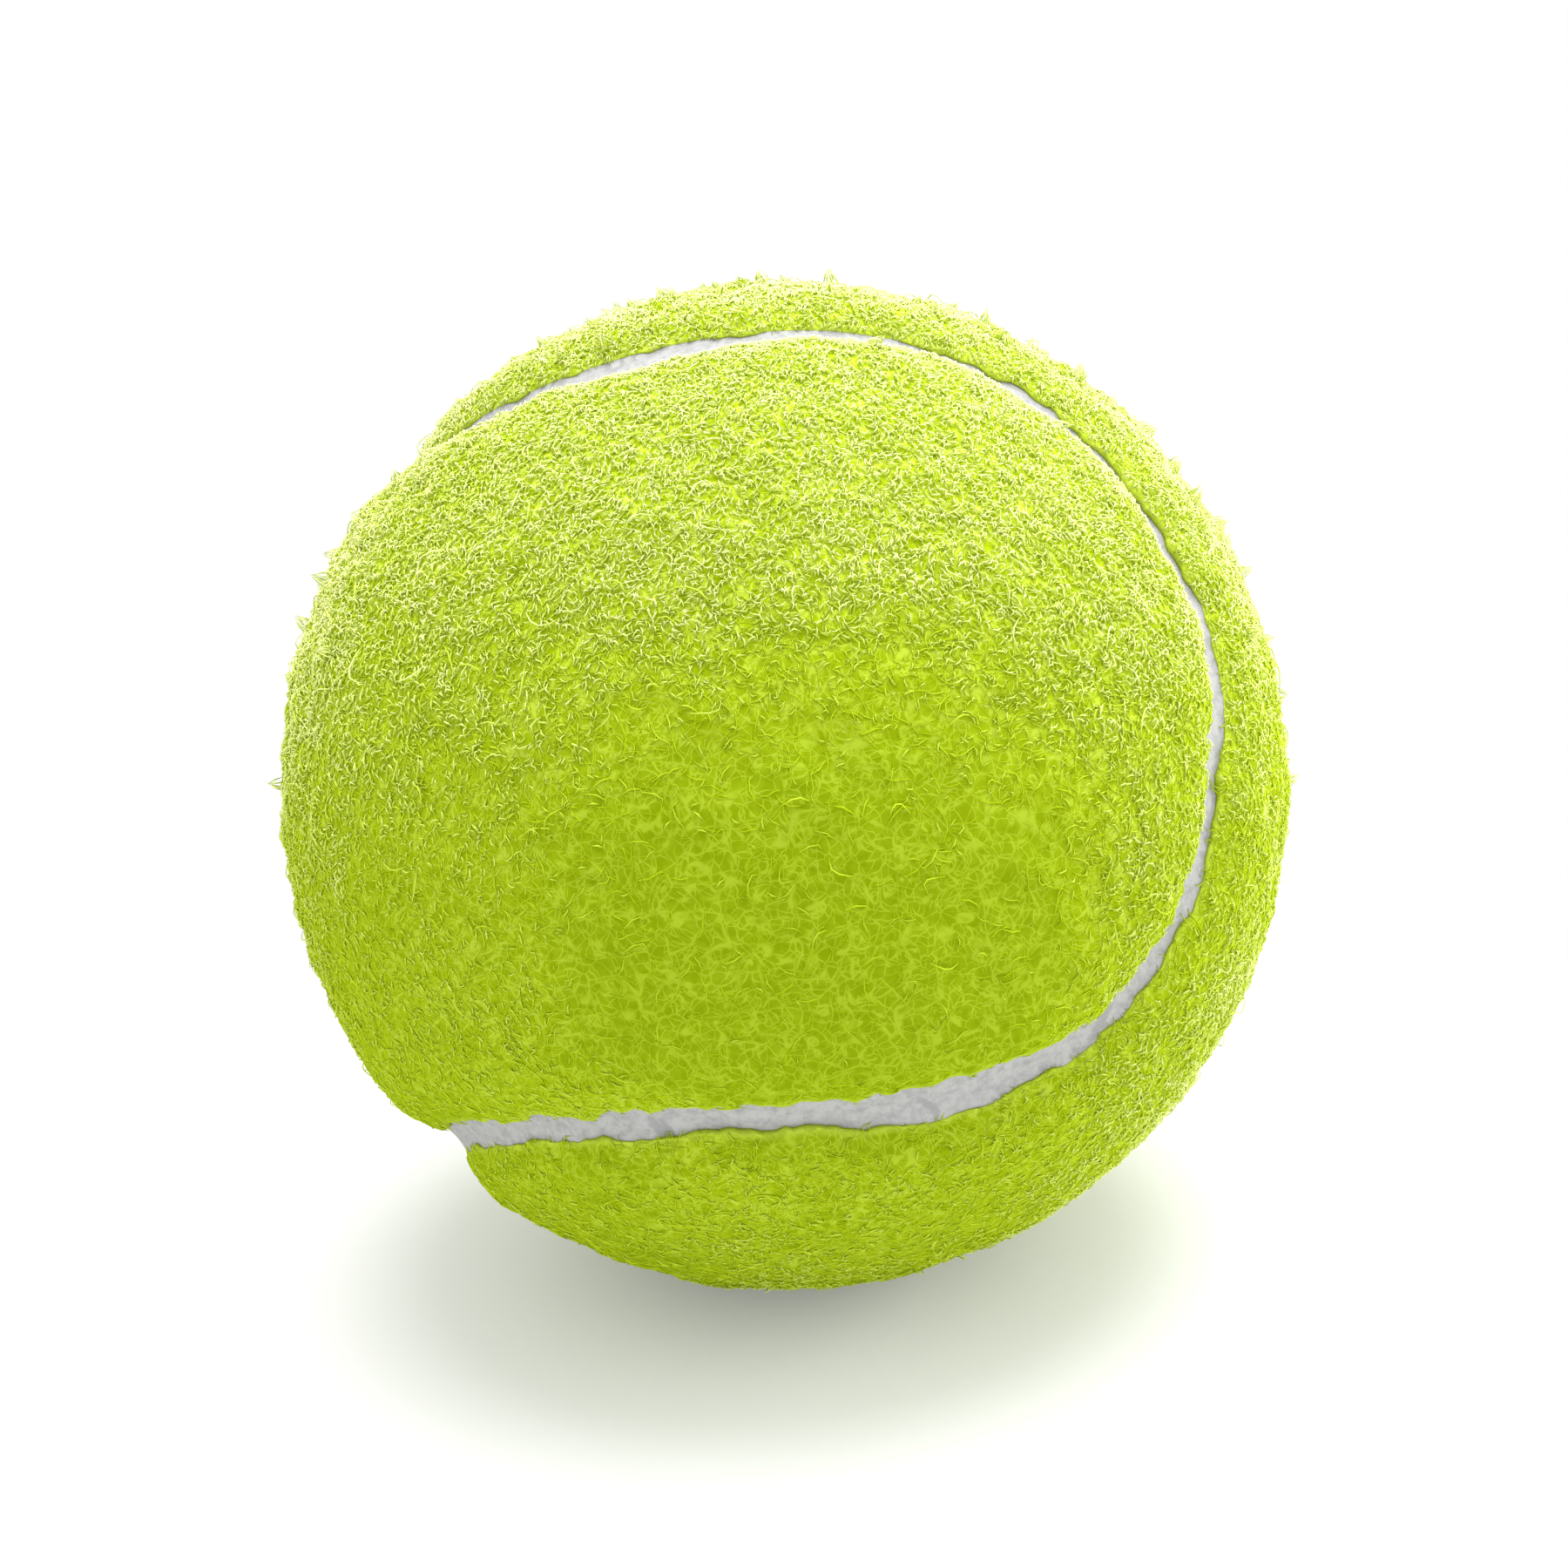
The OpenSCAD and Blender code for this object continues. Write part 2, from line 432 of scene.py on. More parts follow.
def geodesic(parts):
    """A unit sphere of triangles, each icosahedron edge cut into that many parts."""
    base = bmesh.new()
    bmesh.ops.create_icosphere(base, subdivisions=1, radius=1)
    corners = np.array([v.co for v in base.verts])
    faces = [[v.index for v in f.verts] for f in base.faces]
    base.free()
    rows = [(i, j) for i in range(parts + 1) for j in range(parts + 1 - i)]
    order = {key: n for n, key in enumerate(rows)}
    weights = np.array([[parts - i - j, i, j] for i, j in rows]) / parts
    cells = [[order[i, j], order[i + 1, j], order[i, j + 1]] for i, j in rows if i + j < parts]
    cells += [[order[i + 1, j], order[i + 1, j + 1], order[i, j + 1]]
              for i, j in rows if i + j < parts - 1]
    points = np.concatenate([weights @ corners[f] for f in faces])
    triangles = np.concatenate([np.array(cells) + n * len(rows) for n in range(len(faces))])
    _, first, same = np.unique(np.round(points, 6), axis=0, return_index=True, return_inverse=True)
    return unit(points[first]), same.reshape(-1)[triangles]


def panel_patch(seam, side, parts, gap):
    """The part of a geodesic sphere on one side of the gap, its rim set on the gap's wall: rays,
    triangles, nearest sample and distance from the seam."""
    rays, triangles = geodesic(parts)
    found, distance = seam.measure(rays)
    distance = distance * side
    inside = distance > gap / 2
    kept = triangles[inside[triangles].any(1)]
    used, kept = np.unique(kept, return_inverse=True)
    kept = kept.reshape(-1, 3)
    rays, found, distance, rim = rays[used], found[used], distance[used], ~inside[used]
    rays[rim] = seam.beside(found[rim], np.full(rim.sum(), side * gap / 2))
    distance[rim] = gap / 2
    return rays, kept, found, distance


def rim_loop(triangles, phase):
    """The patch's open edge as one loop of points, from the lowest phase and the way it rises."""
    edges = np.concatenate([triangles[:, [0, 1]], triangles[:, [1, 2]], triangles[:, [2, 0]]])
    _, index, uses = np.unique(np.sort(edges, 1), axis=0, return_index=True, return_counts=True)
    following = dict(edges[index[uses == 1]])
    if len(following) != (uses == 1).sum():
        raise RuntimeError("the felt's rim crosses itself")
    start = min(following, key=lambda i: phase[i])
    loop = [start]
    while following[loop[-1]] != start:
        loop.append(following[loop[-1]])
    if len(loop) != len(following):
        raise RuntimeError("the felt's rim is more than one loop")
    ahead = (phase[loop[5]] - phase[start]) % (2 * math.pi)
    return loop if ahead < math.pi else [start] + loop[:0:-1]


def laced(first, first_phase, second, second_phase):
    """Triangles between two closed loops with different counts, matched by phase."""
    a, b, faces = 0, 0, []
    while a < len(first) or b < len(second):
        ahead_a = first_phase[a] if a < len(first) else math.inf
        ahead_b = second_phase[b] if b < len(second) else math.inf
        here_a, here_b = first[a % len(first)], second[b % len(second)]
        if ahead_a <= ahead_b:
            faces.append([here_a, first[(a + 1) % len(first)], here_b])
            a += 1
        else:
            faces.append([here_a, second[(b + 1) % len(second)], here_b])
            b += 1
    return faces


def ripple(rays, width, octaves, seed):
    """Soft lumps of that width over the ball, from about -1 to 1."""
    scale = NAP_RADIUS / width
    shift = Vector((seed, 1.7 * seed, -seed))
    return np.array([
        noise.fractal(Vector(ray) * scale + shift, 0.9, 2.1, octaves) for ray in rays])


def eased(value, low, high):
    """0 up to low, 1 from high on, and a smooth step between them."""
    share = np.clip((value - low) / (high - low), 0, 1)
    return share * share * (3 - 2 * share)


# Where the panels' edges close in over the seam, in millimetres of lean by the seam's phase in
# degrees, for the left panel and the right one: hand-laid felt wanders, so the gap is open at the
# bottom, and narrow at the upper right. The back is like the front.
CLOSING = {
    1: [(0, 1.1), (5, 1.2), (10, -0.2), (15, -0.1), (25, -0.1), (30, 0.9), (35, 0.85), (40, 1.2),
        (45, 0.9), (50, -0.2), (55, 0.2), (60, 0.4), (66, 0.45), (72, 0.1), (90, 0.2), (180, 0.3),
        (270, 0.3), (285, 0.6), (290, 1.1), (295, 1.1), (300, 0.75), (305, -0.1), (315, 0.0),
        (325, 0.15), (330, 0.7), (335, 0.85), (345, 0.8), (350, 0.45), (355, 0.3)],
    -1: [(0, -0.2), (5, -0.2), (10, 0.5), (15, 0.8), (20, 0.45), (25, 0.3), (35, 0.0), (40, -0.2),
         (72, -0.2), (90, 0.2), (180, 0.3), (270, 0.0), (285, -0.1), (300, 0.1), (305, 0.35),
         (310, 0.75), (315, 0.55), (320, -0.2), (330, -0.2), (335, 0.0), (340, 0.0), (345, 0.2),
         (350, 0.7), (355, 0.35)],
}


def edge_overhang(seam, cover, side, found):
    """How far the felt's edge leans over the seam at each sample. It wanders in scallops, and is
    widest where the photograph shows the panels almost meeting."""
    rays, seed = seam.point[found], EDGE_SEEDS[side]
    scallops = (ripple(rays, cover.scallop_length, 2, seed)
                + 0.7 * ripple(rays, FINE_SCALLOP, 2, seed))
    places, leans = zip(*CLOSING[side])
    slow = np.interp(np.degrees(seam.phase[found]), places, leans, period=360)
    return np.clip(slow * MM + cover.scallop * (0.32 + scallops), 0.0, MOST_LEAN)


def felt_surface(seam, cover, side, rays, found, distance):
    """Places of the felt's outer surface: its rolled edge, its scallops and its lumps."""
    inward = distance - cover.gap / 2
    lean = edge_overhang(seam, cover, side, found)
    back = np.clip(inward / LEAN_REACH, 0, 1)
    moved = seam.beside(found, side * (distance - lean * (1 - back) ** 2))
    moved = np.where((inward < LEAN_REACH)[:, None], moved, rays)
    fall = cover.roll_drop * (1 - np.clip(inward / cover.roll_run, 0, 1)) ** 2
    calm = np.clip(inward / CALM_EDGE, 0, 1)
    lumps = (ripple(moved, cover.lump_width, 2, LUMP_SEED)
             + 0.2 * ripple(moved, FINE_LUMP, 2, FINE_LUMP_SEED))
    tufts = np.clip(ripple(moved, TUFT_WIDTH, 3, TUFT_SEED) - 0.2, 0, 1) ** 1.5
    # The back of the ball, from its outline on, is worn less and has deeper lumps
    behind = eased(moved[:, 1], -0.6, -0.15)
    tufts *= np.maximum(raised_nap_and_painted_light(moved) ** 2, 0.4) * behind
    lumps *= (0.25 + 0.75 * calm) * (1 + 0.5 * behind)
    radius = (NAP_RADIUS - cover.ply - fall + cover.lump * lumps
              + cover.peak * TUFT_GAIN * tufts * calm)
    lowest = NAP_RADIUS - cover.seam_depth + 2 * LIP_LIFT
    return unit(moved) * np.maximum(radius, lowest)[:, None]


def felt_lip(seam, cover, side, found):
    """Foot of the felt's edge, on the seam's hollow face, where the lean has brought it."""
    half = cover.gap / 2
    lean = edge_overhang(seam, cover, side, found)
    across = 1 - lean / half
    radius = NAP_RADIUS - cover.seam_depth - cover.seam_dip * (1 - across ** 2) + LIP_LIFT
    return seam.beside(found, side * (half - lean)) * radius[:, None]


def raised_nap_and_painted_light(rays):
    """How far the nap stands out, from 0, matted, to 1, on top of the ball. Low on the front of the
    ball a patch of it is rubbed flat, a band at the left is worn, and the underside is pressed down
    a little, but for its right. The nap is paler the more it stands out, so this also paints light
    and shade: painted light on top of the ball and on the right of its underside, painted shade on
    the rest of the underside, in the band at the left and in the rubbed patch."""
    # Painted light and shade: the terms below that raise the nap paint the felt paler, and those
    # that flatten it paint it deeper
    rubbed = eased(rays @ RUBBED_WAY, math.cos(math.radians(RUBBED_FROM)),
                   math.cos(math.radians(RUBBED_FLAT)))
    height = eased(rays[:, 2], -0.1, 0.8)
    under = eased(-rays[:, 2], -0.05, 0.5)
    fluffed_and_lit = eased(rays[:, 0], 0.2, 0.7)
    worn = eased(-rays[:, 0], 0.1, 0.5) * (1 - eased(-rays[:, 0], 0.7, 0.92))
    return np.clip(0.44 + 0.56 * height - 0.55 * rubbed - 0.16 * worn
                   - 0.15 * under * (1 - 2 * fluffed_and_lit)
                   + 0.16 * ripple(rays, WEAR_WIDTH, 2, WEAR_SEED), 0, 1)


def felt_cloth(seam, cover, side, name, material):
    """One felt panel as a closed cloth, and its outer surface alone for the nap to grow on."""
    rays, faces, found, distance = panel_patch(seam, side, cover.facets, cover.gap)
    outer = felt_surface(seam, cover, side, rays, found, distance)
    loop = rim_loop(faces, seam.phase[found])
    under, under_faces, under_found, _ = panel_patch(seam, side, UNDER_FACETS, cover.gap)
    under_loop = rim_loop(under_faces, seam.phase[under_found])
    # From the rim the wall goes down to the seam's face, back under the lip, and down again
    lip_foot = felt_lip(seam, cover, side, found[loop])
    wall_top = rays[loop] * (NAP_RADIUS - cover.seam_depth + LIP_LIFT)
    points = np.concatenate([outer, lip_foot, wall_top, under * FELT_INNER])
    outer_count, rim_count = len(outer), len(loop)
    lip = np.arange(rim_count) + outer_count
    wall = lip + rim_count
    base = outer_count + 2 * rim_count
    sides = []
    for i, j in zip(range(rim_count), np.roll(np.arange(rim_count), -1)):
        for high, low in ((loop, lip), (lip, wall)):
            sides += [[high[i], high[j], low[j]], [high[i], low[j], low[i]]]
    sides += laced(list(wall), seam.phase[found[loop]], [base + i for i in under_loop],
                   seam.phase[under_found[under_loop]])
    every = [*faces.tolist(), *sides, *(under_faces + base).tolist()]
    cloth = mesh_object(name, points, every, material)
    face_outwards(cloth)
    smooth(cloth)
    field = mesh_object(name + "_field", outer, faces)
    if sum(face.area * face.normal.dot(face.center) for face in field.data.polygons) < 0:
        field.data.flip_normals()
    from_edge, raised = np.zeros(len(points), np.float32), np.zeros(len(points), np.float32)
    from_edge[:outer_count] = distance - cover.gap / 2
    # The raised attribute carries the nap's height, and with it the painted light and shade
    raised[:outer_count] = raised_nap_and_painted_light(unit(outer))
    # Wisps stand out of the nap high on the ball, from its outline back
    loose = raised[:outer_count] * (
        eased(unit(outer)[:, 1], -0.55, -0.15) * eased(outer[:, 2] / NAP_RADIUS, -0.4, 0.4))
    for piece, label, values in (
            (cloth, "from_edge", from_edge), (cloth, "raised", raised),
            (field, "from_edge", from_edge[:outer_count]), (field, "raised", raised[:outer_count]),
            (field, "loose", loose.astype(np.float32))):
        piece.data.attributes.new(label, "FLOAT", "POINT").data.foreach_set("value", values)
    return cloth, field


def strand_layer(tree, place, field_mm, strands, seed, thin):
    """Curly strands that cross the cloth: they run along the contours of a soft field, and break
    off where a second field hides them."""
    shifted = add(tree, "ShaderNodeVectorMath", [place, (seed, 0.7 * seed, -seed)], operation="ADD")
    field = add(tree, "ShaderNodeTexNoise",
                {"Vector": shifted, "Scale": per_mm(field_mm), "Detail": 1.0, "Distortion": 0.8})
    cover = add(tree, "ShaderNodeTexNoise",
                {"Vector": shifted, "Scale": per_mm(0.6 * field_mm), "Detail": 0.0})
    angle = add(tree, "ShaderNodeMath", [field, 2 * math.pi * strands], operation="MULTIPLY")
    wave = add(tree, "ShaderNodeMath", [angle], operation="SINE")
    ridge = add(tree, "ShaderNodeMapRange", {"Value": wave, "From Min": thin})
    shown = add(tree, "ShaderNodeMapRange", {"Value": cover, "From Min": 0.4, "From Max": 0.6})
    return add(tree, "ShaderNodeMath", [ridge, shown], operation="MULTIPLY")


def cell_web(tree, place, cell_mm, bend_mm, seed):
    """A net of thin curved strands: the borders of bent cells."""
    shifted = add(tree, "ShaderNodeVectorMath", [place, (seed, 0.7 * seed, -seed)], operation="ADD")
    bend = add(tree, "ShaderNodeTexNoise",
               {"Vector": shifted, "Scale": per_mm(2.2 * cell_mm), "Detail": 2.0})
    bend = add(tree, "ShaderNodeVectorMath", {0: bend.outputs["Color"], "Scale": bend_mm * MM},
               operation="SCALE")
    bent = add(tree, "ShaderNodeVectorMath", [shifted, bend], operation="ADD")
    cells = add(tree, "ShaderNodeTexVoronoi", {"Vector": bent, "Scale": per_mm(cell_mm)},
                feature="DISTANCE_TO_EDGE")
    return add(tree, "ShaderNodeMapRange",
               {"Value": cells, "From Max": 0.05 / cell_mm, "To Min": 1.0, "To Max": 0.0},
               interpolation_type="SMOOTHSTEP")


def felt_ply_material(colours):
    """Needled wool and nylon felt, dyed lime. Matted crimped fibres cross at every angle, which
    gives the eye a soft web of thin pale strands over deeper, more saturated gaps: the strands
    are the felt's pattern, and the deeper colour of the gaps is painted shade."""
    material, tree, place = new_material("needled_wool_nylon_felt")
    # A strand is about 0.12 mm wide, a few fibres lying together, because one fibre is too fine
    # to show
    web = strand_layer(tree, place, 1.6, 5.0, 0.31, 0.55)
    for layer in (strand_layer(tree, place, 2.6, 6.0, 1.13, 0.55),
                  cell_web(tree, place, 0.8, 1.3, 0.53), cell_web(tree, place, 1.4, 2.2, 2.71)):
        web = add(tree, "ShaderNodeMath", [web, layer], operation="MAXIMUM")
    patches = add(tree, "ShaderNodeTexNoise",
                  {"Vector": place, "Scale": per_mm(0.7), "Detail": 3.0})
    tone = add(tree, "ShaderNodeMath", [web, 0.5, patches], operation="MULTIPLY_ADD")
    # Painted shade: low in the tone, in the gaps between the strands, the colour is deepest
    rubbed = add(tree, "ShaderNodeValToRGB", [tone], (
        (0.38, colours.ply_deep), (0.64, colours.ply_middle), (1.0, colours.ply_high)))
    pile = add(tree, "ShaderNodeValToRGB", [tone], (
        (0.38, colours.pile_deep), (0.6, colours.pile_middle), (0.9, colours.pile_high)))
    # Painted light and shade: where the nap is raised, mostly on top of the ball, the felt takes
    # the paler pile colours, and where it lies flat, the deeper rubbed ones
    raised = add(tree, "ShaderNodeAttribute", attribute_name="raised").outputs["Fac"]
    shade = add(tree, "ShaderNodeMix", {0: raised, 6: rubbed, 7: pile}, data_type="RGBA")
    # The cut edge beside the seam is paler, up to half way to the rim colour, partly where the ends
    # of the fibres show and partly as painted light on the edge and on its wall down to the seam
    from_edge = add(tree, "ShaderNodeAttribute", attribute_name="from_edge").outputs["Fac"]
    rim = add(tree, "ShaderNodeMapRange",
              {"Value": from_edge, "From Max": 0.35 * MM, "To Min": 0.5, "To Max": 0.0})
    shade = add(tree, "ShaderNodeMix",
                {0: rim, 6: shade.outputs[2], 7: linear(colours.ply_rim)}, data_type="RGBA")
    bump = add(tree, "ShaderNodeBump", {"Strength": 0.3, "Distance": 0.05 * MM, "Height": web})
    shader = add(tree, "ShaderNodeBsdfPrincipled", {
        "Base Color": shade.outputs[2], "Roughness": 1.0, "Normal": bump,
        "Specular IOR Level": 0.0, "IOR": 1.5})
    add(tree, "ShaderNodeOutputMaterial", {"Surface": shader})
    return material


# ---------------------------------------------------------------- the nap

def nap_material(colours):
    """Crimped wool and nylon fibres raised from the felt. The shapes run from matted to raised,
    and the more a fibre stands out, the paler it is: painted light, for the light that passes
    through it. Each fibre is also painted deeper at its root and on its underside, painted shade,
    and paler along its upper ridge, painted light."""
    material, tree, _ = new_material("crimped_wool_nylon_fibre")
    layout = add(tree, "ShaderNodeUVMap", uv_map="OFBake")
    parts = add(tree, "ShaderNodeSeparateXYZ", [layout]).outputs
    # Painted shade: each fibre is deeper at its root, low on the ply, and paler up to its top
    matted = add(tree, "ShaderNodeValToRGB", [parts["Y"]],
                 ((0.0, colours.matted_dye_and_root_shade), (0.9, colours.matted_tip)))
    raised = add(tree, "ShaderNodeValToRGB", [parts["Y"]],
                 ((0.0, colours.raised_root_painted_light), (0.9, colours.raised_tip_painted_light)))
    # Painted light: the further a shape stands out, the paler it is painted
    cells = add(tree, "ShaderNodeMath", [parts["X"], float(FIBRE_SHAPES)], operation="MULTIPLY")
    cell = add(tree, "ShaderNodeMath", [cells], operation="FLOOR")
    stand = add(tree, "ShaderNodeMapRange", {"Value": cell, "From Max": float(FIBRE_SHAPES - 1)})
    pale = add(tree, "ShaderNodeMath", [stand, 3.0], operation="POWER")
    # Painted light along the upper ridge of a fibre; its underside keeps the dye's full, deeper
    # colour, painted shade
    across = add(tree, "ShaderNodeMath", [cells, 1.0], operation="MODULO")
    aside = add(tree, "ShaderNodeMath", [across, 0.5], operation="SUBTRACT")
    aside = add(tree, "ShaderNodeMath", [aside], operation="ABSOLUTE")
    ridge = add(tree, "ShaderNodeMapRange",
                {"Value": aside, "From Min": 0.14, "From Max": 0.36, "To Min": 0.15})
    pale = add(tree, "ShaderNodeMath", [pale, ridge], operation="MULTIPLY")
    # The dye's colour, with the painted light of the raised fibres mixed in by how pale each face
    # is
    dyed = add(tree, "ShaderNodeMix", {0: pale, 6: matted, 7: raised}, data_type="RGBA")
    shader = add(tree, "ShaderNodeBsdfPrincipled", {
        "Base Color": dyed.outputs[2], "Roughness": 1.0, "Specular IOR Level": 0.0, "IOR": 1.5})
    add(tree, "ShaderNodeOutputMaterial", {"Surface": shader})
    return material


def fibre_path(cell, draw):
    """Middle line of one fibre in millimetres, on the ply: z is up from it. The first shapes are
    long and lie matted, and the last are short curls that stand out."""
    stand = cell / (FIBRE_SHAPES - 1)
    if stand < 0.3:
        t = np.linspace(0, 1, 5)
        x = draw.uniform(1.1, 1.9) * (t - 0.5)
        y = draw.uniform(0.15, 0.4) * np.sin(draw.uniform(4, 7) * t + draw.uniform(0, 6.3))
        z = (0.04 + 0.2 * stand) * np.sin(math.pi * t) ** 0.6 - 0.06
    else:
        t = np.linspace(0, 1, 3 if cell % 2 else 4)
        x = draw.uniform(0.55, 1.05) * (t - 0.5)
        y = draw.uniform(0.05, 0.28) * np.sin(math.pi * t)
        steep = draw.uniform(-0.5, 0.5) * stand
        z = (0.05 + 0.25 * stand) * np.sin(math.pi * t) ** 0.8 + steep * (t - 0.5) * 0.4 - 0.06
    return np.stack([x, y - y.mean(), z], 1)


def hair_path(cell, draw):
    """Middle line of a loose hair that stands further out than the curls."""
    stand = cell / (FIBRE_SHAPES - 1)
    t = np.linspace(0, 1, 6)
    reach_mm, bend = draw.uniform(1.2, 2.6), draw.uniform(0.4, 1.0)
    x = reach_mm * (t - 0.5)
    y = bend * np.sin(math.pi * t + draw.uniform(-0.5, 0.5))
    z = (0.25 + 0.3 * stand) * np.sin(math.pi * t) - 0.1
    return np.stack([x, y - y.mean(), z], 1)


def wisp_path(strand, top, draw):
    """Middle line of one fibre of a pointed wisp: from its foot on the ply to the common top."""
    turn = 2 * math.pi * strand / WISP_STRANDS + draw.uniform(-0.3, 0.3)
    foot = draw.uniform(0.25, 0.6) * np.array([math.cos(turn), math.sin(turn), 0.0])
    tip = top + draw.uniform(-0.1, 0.1, 3)
    middle = 0.62 * foot + 0.42 * tip + [0, 0, 0.12]
    return np.array([foot - [0, 0, 0.08], middle, tip])


def joined(name, pieces):
    """One object with the faces and layouts of them all."""
    shell = bmesh.new()
    for piece in pieces:
        shell.from_mesh(piece.data)
    first = pieces[0]
    shell.to_mesh(first.data)
    shell.free()
    for piece in pieces[1:]:
        drop(piece)
    first.name = name
    return first


def fibre_tube(name, path, width_mm, cell):
    """A closed, tapered three-sided tube along the path. Its layout puts the tint across and the
    height up the curl along, so that overlapping faces agree in colour."""
    ahead = unit(np.gradient(path, axis=0))
    points, faces, layout = [], [], []
    top = max(path[:, 2].max(), 0.05)
    # Height up the curl, which paints the root deeper, painted shade, and the top paler
    height = END_MARGIN + (1 - 2 * END_MARGIN) * np.clip(path[:, 2] / top, 0.0, 1.0)
    last = len(path) - 1
    for ring, (place, way) in enumerate(zip(path, ahead)):
        if ring in (0, last):
            points.append(place)
            continue
        flat = unit(np.cross(way, [0, 0, 1.0])[None] + 1e-6)[0]
        up = np.cross(flat, way)
        # The rings next to the ends of a long fibre are thinner, which tapers it
        thick = width_mm / 2 * (1.0 if last < 3 or 1 < ring < last - 1 else 0.85)
        points += [place + thick * (math.cos(a) * flat + math.sin(a) * up)
                   for a in (math.pi / 2, math.pi * 7 / 6, math.pi * 11 / 6)]
    first_of = [0] + [1 + FIBRE_SIDES * i for i in range(last)]
    tip = len(points) - 1
    for ring in range(last):
        for side in range(FIBRE_SIDES):
            # Each side has its own place across the cell, which tells the upper faces from the
            # underside for the painted light and shade
            left, right = ((cell + CELL_MARGIN + (1 - 2 * CELL_MARGIN) * (side + n) / FIBRE_SIDES)
                           / FIBRE_SHAPES for n in (0, 1))
            low, high = height[ring], height[ring + 1]
            # A face keeps some height in the layout, also where the fibre lies flat
            if abs(high - low) < 0.01:
                high = low + 0.01
            nxt = (side + 1) % FIBRE_SIDES
            if ring == 0:
                faces.append([0, first_of[1] + side, first_of[1] + nxt])
                layout += [((left + right) / 2, low), (left, high), (right, high)]
            elif ring == last - 1:
                faces.append([first_of[ring] + side, tip, first_of[ring] + nxt])
                layout += [(left, low), ((left + right) / 2, high), (right, low)]
            else:
                faces.append([first_of[ring] + side, first_of[ring + 1] + side,
                              first_of[ring + 1] + nxt, first_of[ring] + nxt])
                layout += [(left, low), (left, high), (right, high), (right, low)]
    piece = mesh_object(name, np.array(points) * MM, faces)
    shell = bmesh.new()
    shell.from_mesh(piece.data)
    inside_out = shell.calc_volume(signed=True) < 0
    shell.free()
    uv = piece.data.uv_layers.new(name="OFBake")
    uv.data.foreach_set("uv", [value for pair in layout for value in pair])
    if inside_out:
        piece.data.flip_normals()
    smooth(piece)
    return piece


def nap_tree(shapes, material, guide="raised"):
    """Scatters curls over the felt, each turned about the felt's normal, part of the turn shared
    with its neighbours so that they mat into tufts."""
    tree, given, out = group_tree(
        "nap_on_felt", Density=("NodeSocketFloat", 1e6), Spacing=("NodeSocketFloat", 1e-4),
        Seed=("NodeSocketInt", 0), Tuft_width=("NodeSocketFloat", 0.003),
        Clear_edge=("NodeSocketFloat", 0.0003), Full_from=("NodeSocketFloat", 0.002),
        Matted_share=("NodeSocketFloat", 1.0))
    from_edge, raised = (
        add(tree, "GeometryNodeInputNamedAttribute", {"Name": label}, data_type="FLOAT")
        for label in ("from_edge", guide))
    thick = add(tree, "ShaderNodeMapRange",
                {"Value": raised, "From Max": DENSE_FROM, "To Min": given["Matted share"]})
    points = add(tree, "GeometryNodeDistributePointsOnFaces",
                 {"Mesh": given["Geometry"], "Distance Min": given["Spacing"],
                  "Density Max": given["Density"], "Density Factor": thick,
                  "Seed": given["Seed"]},
                 distribute_method="POISSON")
    grown_back = add(tree, "ShaderNodeMapRange",
                     {"Value": from_edge, "From Max": given["Full from"], "To Min": 0.9})
    clear = add(tree, "FunctionNodeCompare", [from_edge, given["Clear edge"]],
                data_type="FLOAT", operation="GREATER_THAN")
    where = add(tree, "GeometryNodeInputPosition")
    over = add(tree, "ShaderNodeMath", [1.0, given["Tuft width"]], operation="DIVIDE")
    tufts = add(tree, "ShaderNodeTexNoise", {"Vector": where, "Scale": over, "Detail": 1.0})
    shared = add(tree, "ShaderNodeMath", [tufts, TUFT_TURN], operation="MULTIPLY")
    own = add(tree, "FunctionNodeRandomValue", {2: -OWN_TURN, 3: OWN_TURN, "Seed": given["Seed"]},
              data_type="FLOAT")
    turn = add(tree, "ShaderNodeMath", [shared, own.outputs[1]], operation="ADD")
    spin = add(tree, "FunctionNodeAxisAngleToRotation", {"Axis": (0, 0, 1), "Angle": turn})
    facing = add(tree, "FunctionNodeRotateRotation",
                 [points.outputs["Rotation"], spin], rotation_space="LOCAL")
    size = add(tree, "FunctionNodeRandomValue", {2: OWN_SIZES[0], 3: OWN_SIZES[1], "Seed": 77},
               data_type="FLOAT")
    size = add(tree, "ShaderNodeMath", [size.outputs[1], grown_back], operation="MULTIPLY")
    # How far a fibre stands out picks its shape, and with it how pale its painted light makes it
    own_stand = add(tree, "FunctionNodeRandomValue",
                    {2: OWN_STANDS[0], 3: OWN_STANDS[1], "Seed": 5}, data_type="FLOAT")
    stand = add(tree, "ShaderNodeMath", [raised, own_stand.outputs[1]], operation="ADD")
    # Just under the count, so that the floor of it is never past the last shape
    which = add(tree, "ShaderNodeMapRange", {"Value": stand, "To Max": FIBRE_SHAPES - 0.51})
    which = add(tree, "FunctionNodeFloatToInt", [which], rounding_mode="FLOOR")
    source = add(tree, "GeometryNodeCollectionInfo",
                 {"Collection": shapes, "Separate Children": True, "Reset Children": True})
    curls = add(tree, "GeometryNodeInstanceOnPoints",
                {"Points": points, "Selection": clear, "Instance": source, "Pick Instance": True,
                 "Instance Index": which, "Rotation": facing, "Scale": size})
    return finish_tree(tree, out, curls, material)


def fibre_collection(name, bundles, width_mm, tint=None):
    """The shapes of one kind, each of one fibre or of a bundle of them, coloured by how far a shape
    stands out, paler with painted light the more it does, or, with a tint, all as that shape."""
    shapes = bpy.data.collections.new(name)
    for cell, paths in enumerate(bundles):
        piece = joined(f"{name}_{cell:02d}", [
            fibre_tube(f"{name}_strand", path, width_mm, cell if tint is None else tint)
            for path in paths])
        bpy.context.scene.collection.objects.unlink(piece)
        shapes.objects.link(piece)
    return shapes


